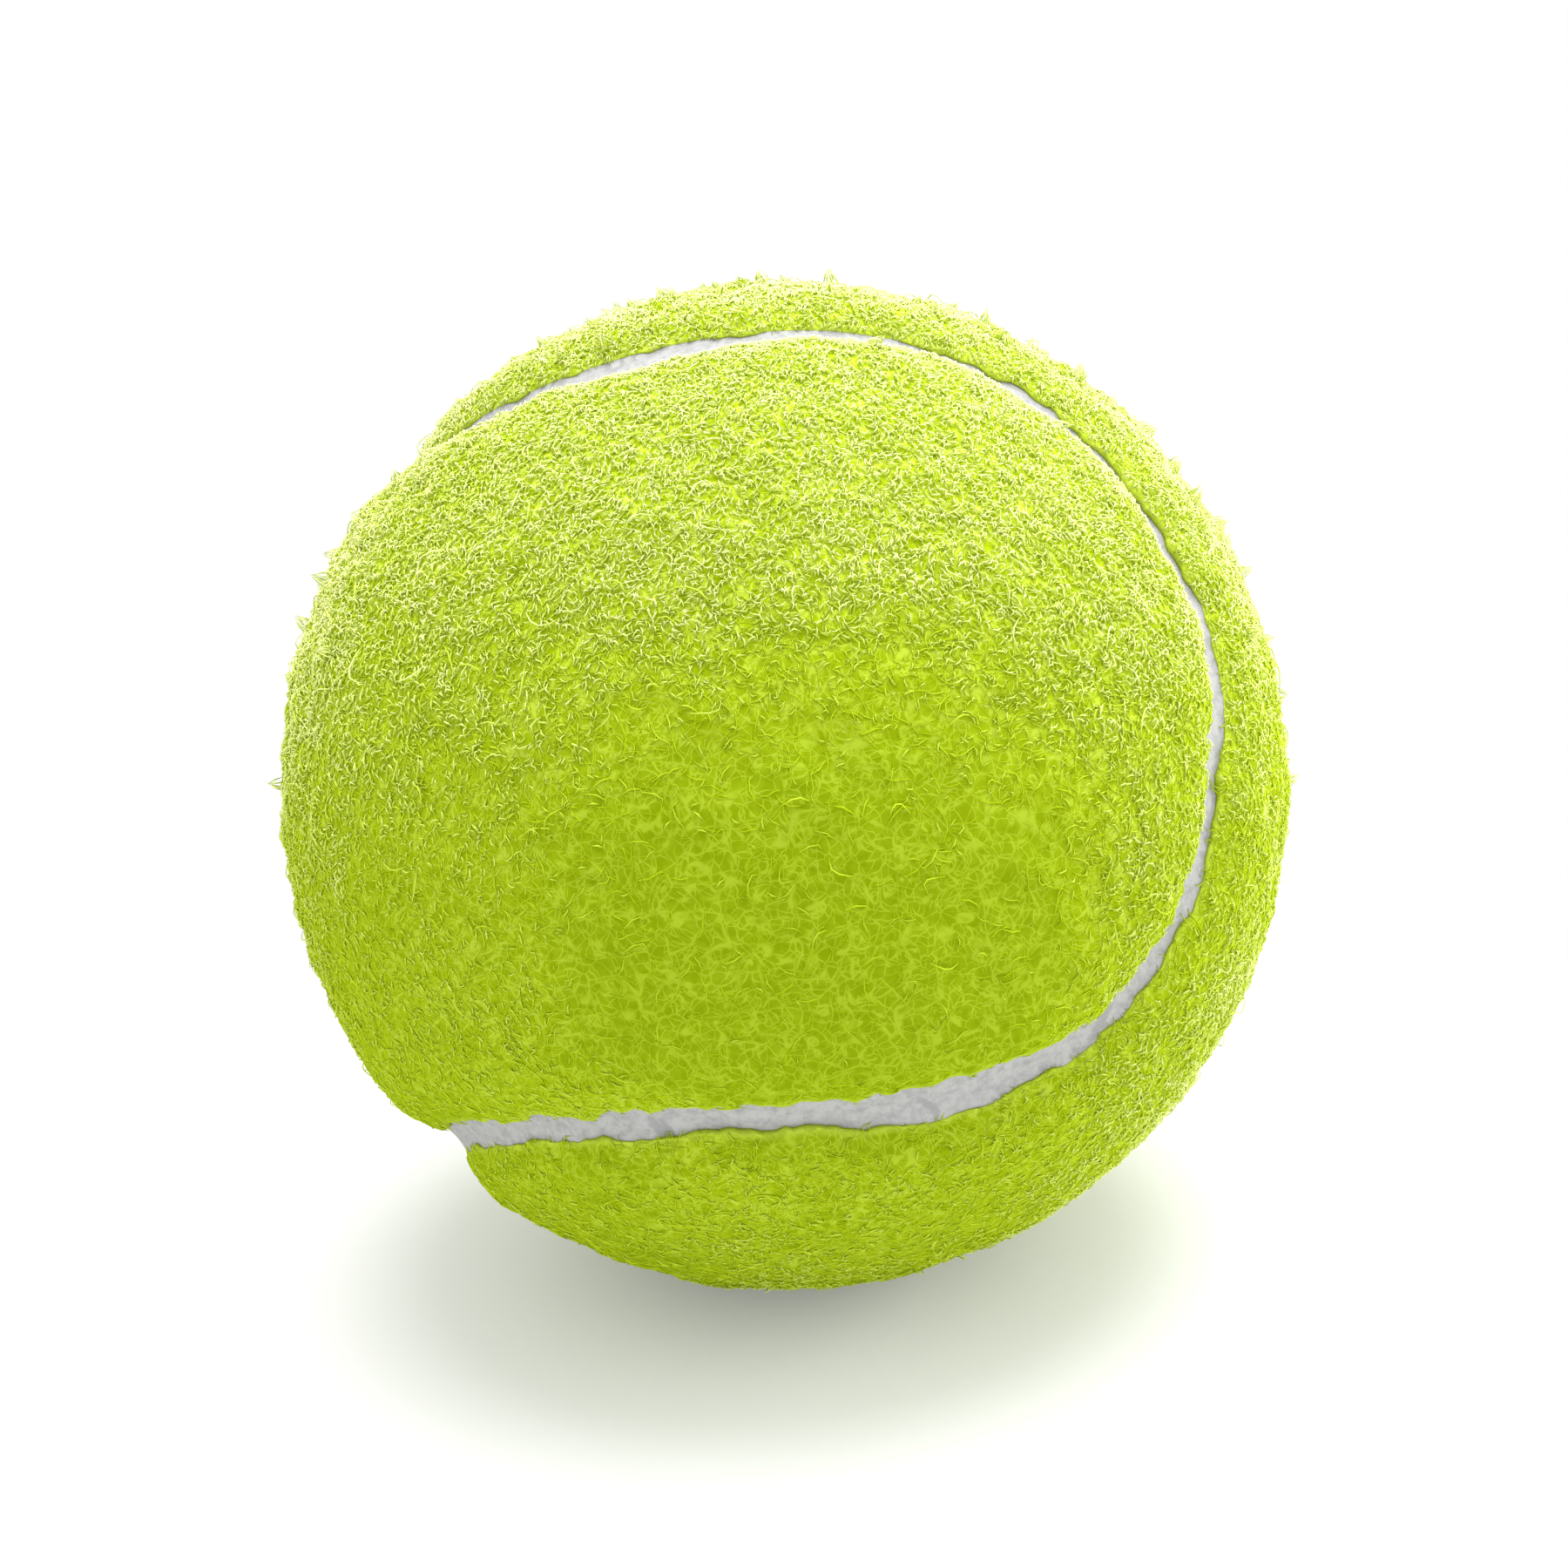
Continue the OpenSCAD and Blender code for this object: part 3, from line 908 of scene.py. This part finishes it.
def spread(number, area):
    """Density and spacing that leave about that number of points on an area, once those that lie
    too close together are thinned out."""
    return {"Density": 1.6 * number / area, "Spacing": 0.62 * math.sqrt(area / number)}


# ---------------------------------------------------------------- the seam rubber

def seam_tree(material):
    """The seam as a band: its profile is carried round the curve that the two harmonics give."""
    tree, given, out = group_tree(
        "seam_band", Waist_share=("NodeSocketFloat", 0.2), Radius=("NodeSocketFloat", 0.03),
        Sway=("NodeSocketFloat", 0.0), Turn=("NodeSocketFloat", 0.0),
        Stations=("NodeSocketInt", 100), Waves=("NodeSocketFloat", 0.0),
        Wave_length=("NodeSocketFloat", 0.004))
    # Each row names a value, then says what gives it: numbers, inputs or values named before it
    value = {**given, "index": add(tree, "GeometryNodeInputIndex")}
    for name, operation, *terms in (
            ("step", "DIVIDE", 2 * math.pi, "Stations"),
            ("phase", "MULTIPLY", "index", "step"),
            ("rest", "SUBTRACT", 1.0, "Waist share"),
            ("product", "MULTIPLY", "Waist share", "rest"),
            ("root", "SQRT", "product"),
            ("swing", "MULTIPLY", 2.0, "root"),
            ("double", "MULTIPLY", "phase", 2.0),
            ("triple", "MULTIPLY", "phase", 3.0),
            ("sixfold", "MULTIPLY", "phase", 6.0),
            ("cos phase", "COSINE", "phase"),
            ("cos double", "COSINE", "double"),
            ("cos triple", "COSINE", "triple"),
            ("cos sixfold", "COSINE", "sixfold"),
            ("sin phase", "SINE", "phase"),
            ("sin triple", "SINE", "triple"),
            ("x", "MULTIPLY", "swing", "cos double"),
            ("third y", "MULTIPLY", "Waist share", "cos triple"),
            ("first y", "MULTIPLY", "rest", "cos phase"),
            ("y", "SUBTRACT", "third y", "first y"),
            ("first z", "MULTIPLY", "rest", "sin phase"),
            ("z", "MULTIPLY_ADD", "Waist share", "sin triple", "first z"),
            # The seam sways to both sides of that curve in six waves
            ("sway", "MULTIPLY", "Sway", "cos sixfold"),
            ("shift", "TANGENT", "sway"),
            ("wave scale", "DIVIDE", 1.0, "Wave length")):
        value[name] = add(tree, "ShaderNodeMath", [value.get(term, term) for term in terms],
                          operation=operation)
    way = add(tree, "ShaderNodeCombineXYZ", [value[name] for name in "xyz"])
    circle = add(tree, "GeometryNodeCurvePrimitiveCircle", {"Resolution": given["Stations"]})
    plain = add(tree, "GeometryNodeSetPosition", {"Geometry": circle, "Position": way})
    here = add(tree, "GeometryNodeInputPosition")
    aside = add(tree, "ShaderNodeVectorMath",
                [here, add(tree, "GeometryNodeInputTangent")], operation="CROSS_PRODUCT")
    shift = add(tree, "ShaderNodeVectorMath", {0: aside, "Scale": value["shift"]},
                operation="SCALE")
    swayed = add(tree, "ShaderNodeVectorMath", [here, shift], operation="ADD")
    swayed = add(tree, "ShaderNodeVectorMath", [swayed], operation="NORMALIZE")
    turned = add(tree, "ShaderNodeVectorRotate", {"Vector": swayed, "Angle": given["Turn"]},
                 rotation_type="X_AXIS")
    place = add(tree, "ShaderNodeVectorMath", {0: turned, "Scale": given["Radius"]},
                operation="SCALE")
    line = add(tree, "GeometryNodeSetPosition", {"Geometry": plain, "Position": place})
    radial = add(tree, "ShaderNodeVectorMath", [add(tree, "GeometryNodeInputPosition")],
                 operation="NORMALIZE")
    aimed = add(tree, "GeometryNodeSetCurveNormal", {"Curve": line, "Normal": radial}, mode="FREE")
    profile = add(tree, "GeometryNodeMeshToCurve", {"Mesh": given["Geometry"]})
    band = add(tree, "GeometryNodeCurveToMesh", {"Curve": aimed, "Profile Curve": profile})
    where = add(tree, "GeometryNodeInputPosition")
    waves = add(tree, "ShaderNodeTexNoise",
                {"Vector": where, "Scale": value["wave scale"], "Detail": 2.0})
    middle = add(tree, "ShaderNodeMath", [waves, 0.5], operation="SUBTRACT")
    lift = add(tree, "ShaderNodeMath", [middle, given["Waves"]], operation="MULTIPLY")
    outward = add(tree, "ShaderNodeVectorMath", [where], operation="NORMALIZE")
    push = add(tree, "ShaderNodeVectorMath", {0: outward, "Scale": lift}, operation="SCALE")
    worn = add(tree, "GeometryNodeSetPosition", {"Geometry": band, "Offset": push})
    soft = add(tree, "GeometryNodeSetShadeSmooth", {"Geometry": worn})
    return finish_tree(tree, out, soft, material)


def seam_material(colours):
    """Moulded pale seam rubber, filled and matt. Fine creases, and stray fibres moulded into it,
    make faint veins in it."""
    material, tree, place = new_material("moulded_filled_seam_rubber")
    veins = strand_layer(tree, place, 3.2, 2.0, 0.53, 0.7)
    cloud = add(tree, "ShaderNodeTexNoise",
                {"Vector": place, "Scale": per_mm(0.6), "Detail": 5.0, "Roughness": 0.7})
    tone = add(tree, "ShaderNodeMath", [veins, 0.2, cloud], operation="MULTIPLY_ADD")
    shade = add(tree, "ShaderNodeValToRGB", [tone],
                ((0.42, colours.seam), (0.66, colours.seam_vein)))
    bump = add(tree, "ShaderNodeBump", {"Strength": 0.35, "Distance": 0.05 * MM, "Height": cloud})
    shader = add(tree, "ShaderNodeBsdfPrincipled", {
        "Base Color": shade, "Roughness": 0.62, "Normal": bump,
        "Specular IOR Level": 0.12, "IOR": 1.52})
    add(tree, "ShaderNodeOutputMaterial", {"Surface": shader})
    return material


# ---------------------------------------------------------------- the pieces under the felt

def moulded_material(name, low, high, roughness, grain_mm, bump_mm):
    """A rubber with a cloudy bloom and a fine moulded or brushed grain."""
    material, tree, place = new_material(name)
    bloom = add(tree, "ShaderNodeTexNoise", {"Vector": place, "Scale": per_mm(7.0), "Detail": 4.0})
    grain = add(tree, "ShaderNodeTexNoise",
                {"Vector": place, "Scale": per_mm(grain_mm), "Detail": 3.0})
    shade = add(tree, "ShaderNodeValToRGB", [bloom], ((0.35, low), (0.7, high)))
    matt = add(tree, "ShaderNodeMapRange",
               {"Value": bloom, "To Min": roughness - 0.08, "To Max": roughness + 0.08})
    bump = add(tree, "ShaderNodeBump", {"Strength": 0.4, "Distance": bump_mm * MM, "Height": grain})
    shader = add(tree, "ShaderNodeBsdfPrincipled", {
        "Base Color": shade, "Roughness": matt, "Normal": bump,
        "Specular IOR Level": 0.45, "IOR": 1.52})
    add(tree, "ShaderNodeOutputMaterial", {"Surface": shader})
    return material


def set_material(node, material):
    """Gives a CAD node's own object another material."""
    mesh = bpy.data.objects[node].data
    if not mesh.materials:
        mesh.materials.append(material)
    for slot in range(len(mesh.materials)):
        mesh.materials[slot] = material


# ---------------------------------------------------------------- the studio

def seen_directly(tree):
    """1 where the camera sees a surface, be it in a reflection or through glass."""
    path = add(tree, "ShaderNodeLightPath").outputs
    seen = path["Is Camera Ray"]
    for kind in ("Is Glossy Ray", "Is Transmission Ray"):
        seen = add(tree, "ShaderNodeMath", [seen, path[kind]], operation="MAXIMUM")
    return seen


def floor_material():
    """Matt white board. Away from the ball the camera sees it as plain white, as the backdrop."""
    material, tree, place = new_material("matt_white_board")
    # The board looks white, and throws back no more light than a grey one, so that it doesn't
    # light the ball from below
    camera_ray = add(tree, "ShaderNodeLightPath").outputs["Is Camera Ray"]
    tone = add(tree, "ShaderNodeMix", {0: camera_ray, 6: linear("#E8E8E8"), 7: linear("#F8F8F8")},
               data_type="RGBA")
    board = add(tree, "ShaderNodeBsdfDiffuse", {"Color": tone.outputs[2], "Roughness": 0.5})
    white = add(tree, "ShaderNodeEmission", {"Color": (1, 1, 1, 1)})
    away = add(tree, "ShaderNodeVectorMath", [place], operation="LENGTH")
    far = add(tree, "ShaderNodeMapRange",
              {"Value": away.outputs["Value"], "From Min": FADE_FROM, "From Max": FADE_TO},
              interpolation_type="SMOOTHSTEP")
    share = add(tree, "ShaderNodeMath", [seen_directly(tree), far], operation="MULTIPLY")
    mixed = add(tree, "ShaderNodeMixShader", [share, board, white])
    add(tree, "ShaderNodeOutputMaterial", {"Surface": mixed})
    return material


def white_world():
    """White behind the ball, and a plain level of light on it from all round."""
    world = bpy.data.worlds.new("white_studio")
    world.use_nodes = True
    tree = world.node_tree
    tree.nodes.clear()
    level = add(tree, "ShaderNodeMapRange", {"Value": seen_directly(tree), "To Min": ROUND_LIGHT})
    light = add(tree, "ShaderNodeBackground", {"Color": (1, 1, 1, 1), "Strength": level})
    add(tree, "ShaderNodeOutputWorld", {"Surface": light})
    return world


def soft_lamp(name, place, width, power):
    """A round lamp of that width that looks at the ball's centre."""
    lamp = bpy.data.lights.new(name, "AREA")
    lamp.shape, lamp.size, lamp.energy = "DISK", width, power
    piece = bpy.data.objects.new(name, lamp)
    piece.location = place
    piece.rotation_euler = (-Vector(place)).to_track_quat("-Z", "Y").to_euler()
    bpy.context.scene.collection.objects.link(piece)


def photo_camera():
    """The photograph's view: four ball radii from the middle, 15 degrees up, and rolled 4.4
    degrees, with the ball 1163 of 1800 pixels wide."""
    azimuth, elevation, roll = (math.radians(angle) for angle in CAMERA_ANGLES)
    back = Vector((math.sin(azimuth) * math.cos(elevation),
                   -math.cos(azimuth) * math.cos(elevation), math.sin(elevation)))
    data = bpy.data.cameras.new("photo_camera")
    data.sensor_width, data.lens = SENSOR, LENS
    data.shift_x, data.shift_y = (shift / PHOTO_WIDTH for shift in CAMERA_SHIFT)
    data.clip_start, data.clip_end = 0.01, 20
    camera = bpy.data.objects.new("photo_camera", data)
    camera.rotation_mode = "QUATERNION"
    aim = (-back).to_track_quat("-Z", "Y")
    camera.rotation_quaternion = aim @ Matrix.Rotation(roll, 3, "Z").to_quaternion()
    camera.location = back * CAMERA_DISTANCE
    bpy.context.scene.collection.objects.link(camera)
    return camera


# ---------------------------------------------------------------- operators

class BALL_OT_core(bpy.types.Operator):
    """Finish the rubber half shells, the cement between them and the rubber solution on them"""
    bl_idname = "ball.core"
    bl_label = "Core and adhesives"

    def execute(self, context):
        colours = context.scene.ball_colours
        # Natural rubber filled with carbon black, compression moulded: near-black, grey bloom
        core = moulded_material(
            "moulded_carbon_black_rubber", colours.core, colours.core_bloom, 0.7, 0.5, 0.05)
        # Rubber cement cured in the joint: amber, smooth and slightly glossy
        cement = moulded_material(
            "cured_rubber_cement", colours.cement, colours.cement_thick, 0.45, 0.9, 0.03)
        # Rubber solution brushed on and dried: cream, with brush drag
        adhesive = moulded_material(
            "dried_rubber_solution", colours.adhesive, colours.adhesive_thick, 0.5, 1.4, 0.04)
        for node, material in (("half_shell_upper", core), ("half_shell_lower", core),
                               ("shell_cement", cement), ("panel_adhesive_left", adhesive),
                               ("panel_adhesive_right", adhesive)):
            set_material(node, material)
        return {"FINISHED"}


class BALL_OT_felt(bpy.types.Operator):
    """Make both felt panels with their rolled edges, and grow the curly nap on them"""
    bl_idname = "ball.felt"
    bl_label = "Felt panels and nap"

    def execute(self, context):
        cover, nap, colours = (getattr(context.scene, name) for name in GROUPS)
        seam = Seam(cover)
        ply = felt_ply_material(colours)
        fibre = nap_material(colours)
        draw = np.random.default_rng(SHAPE_SEED)
        width_mm = nap.fibre_width / MM
        curls = fibre_collection(
            "curl", [[fibre_path(n, draw)] for n in range(FIBRE_SHAPES)], width_mm)
        hairs = fibre_collection(
            "hair", [[hair_path(n, draw)] for n in range(FIBRE_SHAPES)], width_mm * HAIR_WIDTH)
        tops = [np.array([*draw.uniform(-0.45, 0.45, 2), draw.uniform(0.55, 1.05)])
                for _ in range(FIBRE_SHAPES)]
        # Every wisp takes the colours of the palest shape, painted light, as the wisps stand high
        # on the ball
        wisps = fibre_collection(
            "wisp", [[wisp_path(n, top, draw) for n in range(WISP_STRANDS)] for top in tops],
            width_mm, FIBRE_SHAPES - 1)
        # Name, tree and number of each kind of nap, its seed on each panel, and where it grows
        curl_tree = nap_tree(curls, fibre)
        kinds = [(f"nap_{{}}_{n + 1}", curl_tree, nap.fibres, (10 * n + 3, 10 * n + 8),
                  CURL_PLACES) for n in range(NAP_LAYERS)]
        kinds += [("hairs_{}", nap_tree(hairs, fibre), nap.hairs, (91, 97), HAIR_PLACES),
                  ("wisps_{}", nap_tree(wisps, fibre, "loose"), nap.wisps, (41, 47), WISP_PLACES)]
        for panel, (side, which) in enumerate(((1, "left"), (-1, "right"))):
            cloth, field = felt_cloth(seam, cover, side, f"felt_cloth_{which}", ply)
            area = sum(face.area for face in field.data.polygons)
            pieces = [
                grown(field, tree, {**spread(number, area), "Seed": seeds[panel], **places},
                      "felt_" + name.format(which))
                for name, tree, number, seeds, places in kinds]
            drop(field)
            for piece in (cloth, *pieces):
                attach(piece, BODY)
                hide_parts(f"felt_panel_{which}")
        for shapes in (curls, hairs, wisps):
            for piece in list(shapes.objects):
                drop(piece)
            bpy.data.collections.remove(shapes)
        return {"FINISHED"}


class BALL_OT_seam(bpy.types.Operator):
    """Make the seam rubber, one closed band between the felt panels"""
    bl_idname = "ball.seam"
    bl_label = "Seam rubber"

    def execute(self, context):
        cover, _, colours = (getattr(context.scene, name) for name in GROUPS)
        half = cover.gap / 2
        face = [(half * across, -cover.seam_dip * (1 - across ** 2))
                for across in np.linspace(-1, 1, FACE_POINTS)]
        radius = NAP_RADIUS - cover.seam_depth
        outline = [(-half, CORE_RADIUS - radius), *face, (half, CORE_RADIUS - radius)]
        carrier = mesh_object("seam_profile", [(y, x, 0) for x, y in outline], [], edges=[
            (n, (n + 1) % len(outline)) for n in range(len(outline))])
        piece = grown(carrier, seam_tree(seam_material(colours)), {
            "Waist share": cover.waist_share, "Sway": cover.sway / NAP_RADIUS,
            "Turn": cover.turn, "Stations": BAND_STATIONS, "Radius": radius,
            "Waves": BAND_WAVE, "Wave length": BAND_WAVE_LENGTH}, "seam_band")
        drop(carrier)
        face_outwards(piece)
        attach(piece, BODY)
        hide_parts("seam_rubber")
        return {"FINISHED"}


class BALL_OT_studio(bpy.types.Operator):
    """Set the pale floor, the soft lights and the camera of the photograph"""
    bl_idname = "ball.studio"
    bl_label = "Studio"

    def execute(self, context):
        scene = context.scene
        scene.view_settings.view_transform = "Standard"
        corners = ((-1, -1), (1, -1), (1, 1), (-1, 1))
        floor = mesh_object("studio_floor", [
            (x * FLOOR_HALF, y * FLOOR_HALF, FLOOR_Z) for x, y in corners], [(0, 1, 2, 3)],
            floor_material())
        scene.world = white_world()
        for name, lamp in LAMPS.items():
            soft_lamp(name, *lamp)
        scene.camera = photo_camera()
        return {"FINISHED"}


class BALL_PT_panel(bpy.types.Panel):
    """Sizes, colours and pieces of the ball"""
    bl_idname = "BALL_PT_panel"
    bl_label = "Felt-covered ball"
    bl_space_type = "VIEW_3D"
    bl_region_type = "UI"
    bl_category = "Ball"

    def draw(self, context):
        for operator in STEPS:
            self.layout.operator(operator.bl_idname)
        for name, group in GROUPS.items():
            box = self.layout.box()
            for prop in group.__annotations__:
                box.prop(getattr(context.scene, name), prop)


STEPS = (BALL_OT_core, BALL_OT_felt, BALL_OT_seam, BALL_OT_studio)


def register():
    for item in (*GROUPS.values(), *STEPS, BALL_PT_panel):
        bpy.utils.register_class(item)
    for name, group in GROUPS.items():
        setattr(bpy.types.Scene, name, bpy.props.PointerProperty(type=group))


def unregister():
    for name in GROUPS:
        delattr(bpy.types.Scene, name)
    for item in (BALL_PT_panel, *reversed(STEPS), *reversed(GROUPS.values())):
        bpy.utils.unregister_class(item)


def main():
    register()
    bpy.ops.ball.core()
    bpy.ops.ball.felt()
    bpy.ops.ball.seam()
    bpy.ops.ball.studio()


if __name__ == "__main__":
    main()
